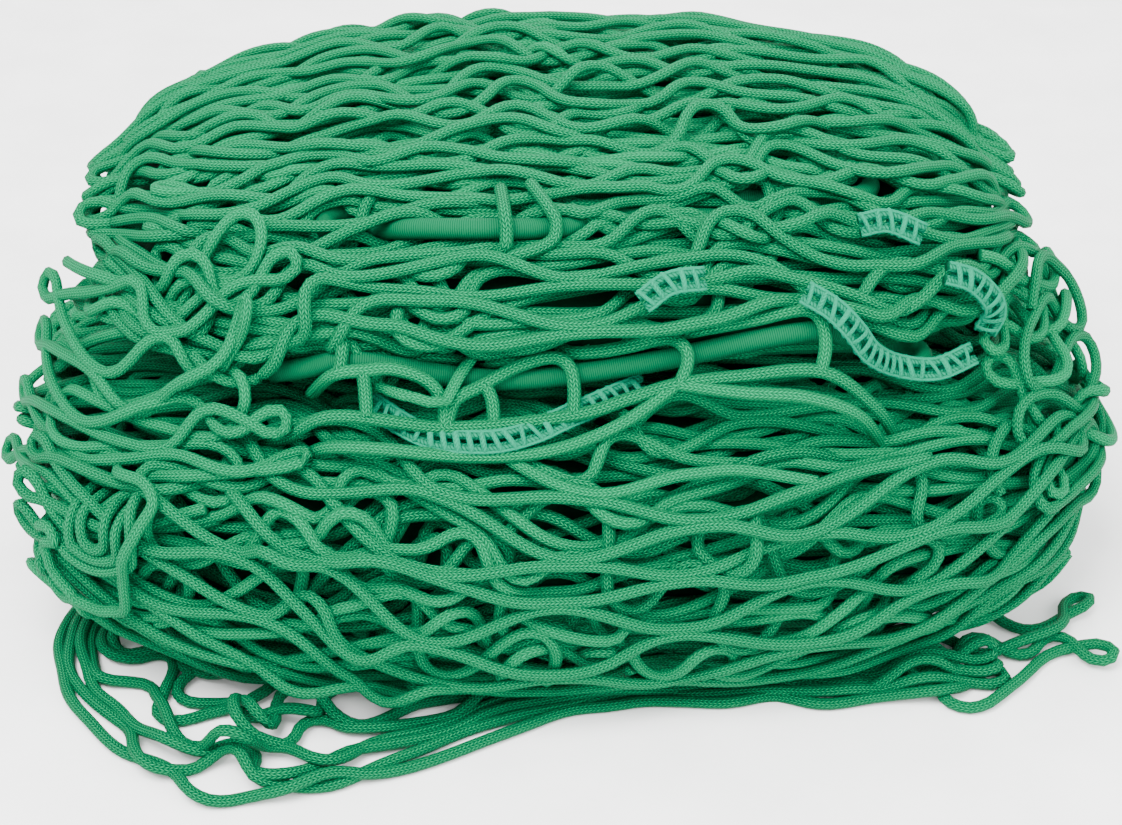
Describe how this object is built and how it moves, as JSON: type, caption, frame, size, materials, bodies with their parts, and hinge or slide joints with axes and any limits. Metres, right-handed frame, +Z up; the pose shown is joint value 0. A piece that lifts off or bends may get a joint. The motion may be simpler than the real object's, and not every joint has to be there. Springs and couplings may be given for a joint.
{
  "type": "folded cargo net",
  "caption": "Knotless braided cargo net with an elastic edge cord and a stitched border, folded into a pack of two folds that open like a book, with one corner left loose.",
  "frame": {"origin": "on the resting face, below the middle of the lower fold's belly", "axes": "+X along the pack's length, to the right seen from the open side of the crease, +Y to the fold at the back, +Z up"},
  "size_m": [0.456, 0.3193, 0.2],
  "materials": {
    "netting": "braided polypropylene twine, satin",
    "edge_binding": "stitched binding yarn, lighter turquoise green",
    "elastic_cover": "smooth finely ribbed braided cover",
    "elastic_core": "natural rubber strands",
    "ferrule": "crimped tube, satin"
  },
  "bodies": {
    "lower_fold": {"net_lower_bottom_layer": "netting", "net_lower_middle_layer": "netting", "net_lower_top_layer": "netting", "net_front_drape": "netting", "net_right_turn": "netting", "net_back_spine": "netting", "net_left_turn": "netting", "net_right_loops": "netting", "net_corner_root": "netting", "elastic_core_lower": "elastic_core", "elastic_cover_lower": "elastic_cover", "elastic_ferrule": "ferrule", "edge_binding_front": "edge_binding"},
    "upper_fold": {"elastic_core_upper": "elastic_core", "elastic_cover_upper": "elastic_cover", "net_upper_bottom_layer": "netting", "net_upper_crown_layer": "netting", "net_upper_front_drape": "netting", "net_upper_right_turn": "netting", "net_upper_back_spine": "netting", "net_upper_left_turn": "netting", "edge_binding_right": "edge_binding", "edge_binding_upper_right": "edge_binding", "edge_binding_crown_right": "edge_binding", "edge_binding_middle": "edge_binding"},
    "loose_corner": {"net_loose_corner": "netting"}
  },
  "joints": [
    {"name": "upper_fold_open", "type": "hinge", "parent": "lower_fold", "child": "upper_fold", "pos_m": [0, 0.134, 0.1283], "axis": [-1, 0, 0], "range_deg": [0, 120]},
    {"name": "loose_corner_lift", "type": "hinge", "parent": "lower_fold", "child": "loose_corner", "pos_m": [-0.11847, -0.11387, 0.01], "axis": [-0.9583, 0.2857, 0], "range_deg": [0, 50]}
  ]
}
